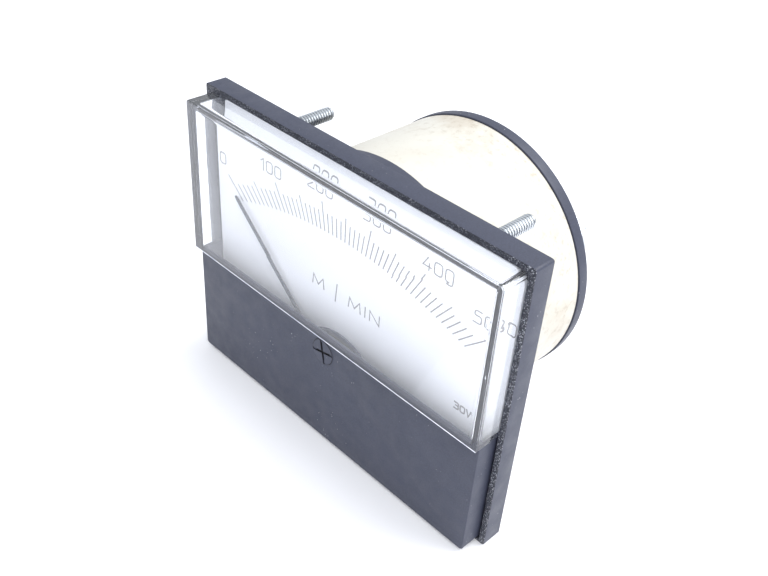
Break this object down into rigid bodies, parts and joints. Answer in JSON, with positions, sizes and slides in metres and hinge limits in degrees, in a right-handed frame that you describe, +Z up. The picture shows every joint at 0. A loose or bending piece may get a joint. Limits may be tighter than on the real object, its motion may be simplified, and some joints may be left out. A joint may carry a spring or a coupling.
{
  "type": "analog dial panel meter",
  "caption": "Square-front moving-coil panel meter with a clear window over a white dial, a swinging pointer, a zero adjuster and a round rear barrel with studs and terminals.",
  "frame": {"origin": "middle of the object's footprint, level with the flange's bottom edge", "axes": "+X to the viewer's right, +Y into the panel along the barrel, +Z up; the dial faces -Y"},
  "size_m": [0.1, 0.0618, 0.0766],
  "materials": {
    "black_case": "moulded matte black phenolic",
    "black_cover": "fine matte black",
    "clear_window": "clear moulded acrylic",
    "cream_sleeve": "aged cream, satin",
    "dial_white": "white paint on aluminium",
    "pointer_grey": "satin dark grey",
    "zinc_hardware": "bright zinc plate",
    "spring_steel": "polished",
    "soft_iron": "blackened soft iron",
    "magnet_alloy": "ground magnet alloy",
    "movement_brass": "satin brass",
    "phosphor_bronze": "rolled phosphor bronze",
    "chassis_aluminium": "mill finish",
    "copper_winding": "enamelled copper winding",
    "resistor_body": "cement-coated wirewound",
    "wire_insulation": "pvc insulation"
  },
  "bodies": {
    "case": {"base_frame": "black_case", "window_cover": "clear_window", "lower_cover": "black_cover", "stud_top_left": "zinc_hardware", "stud_top_right": "zinc_hardware", "stud_bottom_left": "zinc_hardware", "stud_bottom_right": "zinc_hardware", "chassis_plate": "chassis_aluminium", "dial_plate": "dial_white", "dial_screw_left": "zinc_hardware", "dial_screw_right": "zinc_hardware", "movement_screw_left": "zinc_hardware", "movement_screw_right": "zinc_hardware", "return_ring": "soft_iron", "core_magnet": "magnet_alloy", "core_spacer_top": "movement_brass", "core_spacer_bottom": "movement_brass", "front_bridge": "movement_brass", "rear_bridge": "movement_brass", "front_jewel_screw": "zinc_hardware", "rear_jewel_screw": "zinc_hardware", "front_bridge_screw_left": "zinc_hardware", "front_bridge_screw_right": "zinc_hardware", "stop_pin_left": "phosphor_bronze", "stop_pin_right": "phosphor_bronze", "barrel_sleeve": "cream_sleeve", "rear_cover": "black_case", "case_post_top": "movement_brass", "case_post_left": "movement_brass", "case_post_right": "movement_brass", "case_screw_top": "zinc_hardware", "case_screw_left": "zinc_hardware", "case_screw_right": "zinc_hardware", "terminal_stud_left": "zinc_hardware", "terminal_stud_right": "zinc_hardware", "solder_tag_left": "movement_brass", "solder_tag_right": "movement_brass", "terminal_washer_left": "zinc_hardware", "terminal_washer_right": "zinc_hardware", "terminal_nut_left": "zinc_hardware", "terminal_nut_right": "zinc_hardware", "multiplier_resistor": "resistor_body", "resistor_lead": "wire_insulation", "bridge_lead": "wire_insulation", "ring_lead": "wire_insulation"},
    "movement": {"pointer": "pointer_grey", "pointer_hub": "chassis_aluminium", "balance_weight_tail": "movement_brass", "balance_weight_left": "movement_brass", "balance_weight_right": "movement_brass", "coil_former": "chassis_aluminium", "moving_coil": "copper_winding", "front_pivot": "spring_steel", "rear_pivot": "spring_steel", "front_hairspring": "phosphor_bronze", "rear_hairspring": "phosphor_bronze"},
    "adjuster": {"zero_adjuster": "black_cover", "adjuster_clip": "spring_steel"},
    "lever": {"zero_lever": "phosphor_bronze"}
  },
  "joints": [
    {"name": "pointer_swing", "type": "hinge", "parent": "case", "child": "movement", "pos_m": [0, -0.0236, 0.0168], "axis": [0, 1, 0], "range_deg": [0, 94], "stiffness_Nm_per_rad": 0.0008, "deforming": ["front_hairspring", "rear_hairspring"]},
    {"name": "adjuster_turn", "type": "hinge", "parent": "case", "child": "adjuster", "pos_m": [0, -0.0292, 0.0281], "axis": [0, 1, 0], "range_deg": [-40, 40]},
    {"name": "lever_swing", "type": "hinge", "parent": "case", "child": "lever", "pos_m": [0, -0.0254, 0.0168], "axis": [0, 1, 0], "range_deg": [-6.5, 6.5]}
  ],
  "couplings": [
    {"joint": "lever_swing", "follows": "adjuster_turn", "ratio": -0.145}
  ]
}
